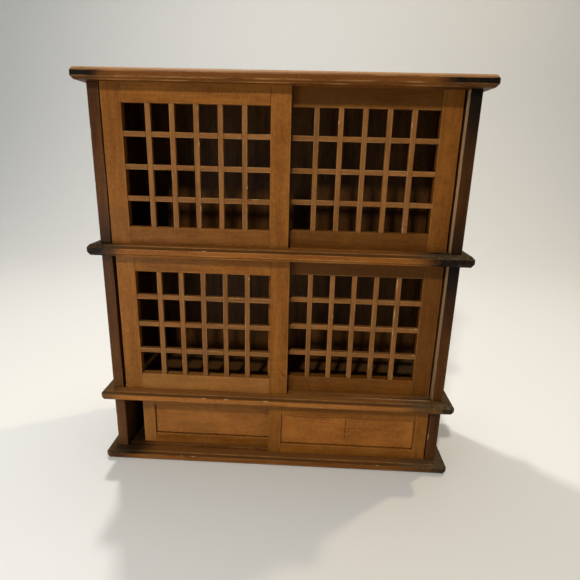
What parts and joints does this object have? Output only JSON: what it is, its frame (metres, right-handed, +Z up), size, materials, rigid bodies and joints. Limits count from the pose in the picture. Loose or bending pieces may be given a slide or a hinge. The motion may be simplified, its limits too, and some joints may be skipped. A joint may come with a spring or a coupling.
{
  "type": "tansu display cabinet",
  "caption": "Table-top wooden cabinet in three tiers between overhanging boards, with sliding lattice doors above and sliding panel doors below.",
  "frame": {"origin": "centre of the cabinet's footprint, on the surface that the base board rests on", "axes": "+Z up, +X to the viewer's right when facing the doors, -Y out of the front"},
  "size_m": [0.4456, 0.1528, 0.4755],
  "materials": {
    "board": "worn brown stain, near-black at the ends",
    "side": "dark brown stain",
    "back": "dark brown stain",
    "frame": "honey brown stain, satin",
    "lattice": "honey brown stain, satin",
    "panel": "honey brown stain, satin"
  },
  "bodies": {
    "case": {"base_board": "board", "lower_shelf_board": "board", "upper_shelf_board": "board", "top_board": "board", "lower_left_side": "side", "lower_right_side": "side", "middle_left_side": "side", "middle_right_side": "side", "upper_left_side": "side", "upper_right_side": "side", "lower_back": "back", "middle_back": "back", "upper_back": "back"},
    "upper_left_door": {"upper_left_door_left_stile": "frame", "upper_left_door_right_stile": "frame", "upper_left_door_top_rail": "frame", "upper_left_door_bottom_rail": "frame", "upper_left_door_lattice": "lattice"},
    "upper_right_door": {"upper_right_door_left_stile": "frame", "upper_right_door_right_stile": "frame", "upper_right_door_top_rail": "frame", "upper_right_door_bottom_rail": "frame", "upper_right_door_lattice": "lattice"},
    "middle_left_door": {"middle_left_door_left_stile": "frame", "middle_left_door_right_stile": "frame", "middle_left_door_top_rail": "frame", "middle_left_door_bottom_rail": "frame", "middle_left_door_lattice": "lattice"},
    "middle_right_door": {"middle_right_door_left_stile": "frame", "middle_right_door_right_stile": "frame", "middle_right_door_top_rail": "frame", "middle_right_door_bottom_rail": "frame", "middle_right_door_lattice": "lattice"},
    "lower_left_door": {"lower_left_door_left_stile": "frame", "lower_left_door_right_stile": "frame", "lower_left_door_top_rail": "frame", "lower_left_door_bottom_rail": "frame", "lower_left_door_panel": "panel"},
    "lower_right_door": {"lower_right_door_left_stile": "frame", "lower_right_door_right_stile": "frame", "lower_right_door_top_rail": "frame", "lower_right_door_bottom_rail": "frame", "lower_right_door_panel": "panel"}
  },
  "joints": [
    {"name": "upper_left_slide", "type": "slide", "parent": "case", "child": "upper_left_door", "axis": [1, 0, 0], "range_m": [-0.0005, 0.1864]},
    {"name": "upper_right_slide", "type": "slide", "parent": "case", "child": "upper_right_door", "axis": [1, 0, 0], "range_m": [-0.1854, 0.0015]},
    {"name": "middle_left_slide", "type": "slide", "parent": "case", "child": "middle_left_door", "axis": [1, 0, 0], "range_m": [-0.003, 0.1839]},
    {"name": "middle_right_slide", "type": "slide", "parent": "case", "child": "middle_right_door", "axis": [1, 0, 0], "range_m": [-0.1853, 0.0016]},
    {"name": "lower_left_slide", "type": "slide", "parent": "case", "child": "lower_left_door", "axis": [1, 0, 0], "range_m": [-0.0187, 0.17145]},
    {"name": "lower_right_slide", "type": "slide", "parent": "case", "child": "lower_right_door", "axis": [1, 0, 0], "range_m": [-0.18845, 0.0017]}
  ]
}
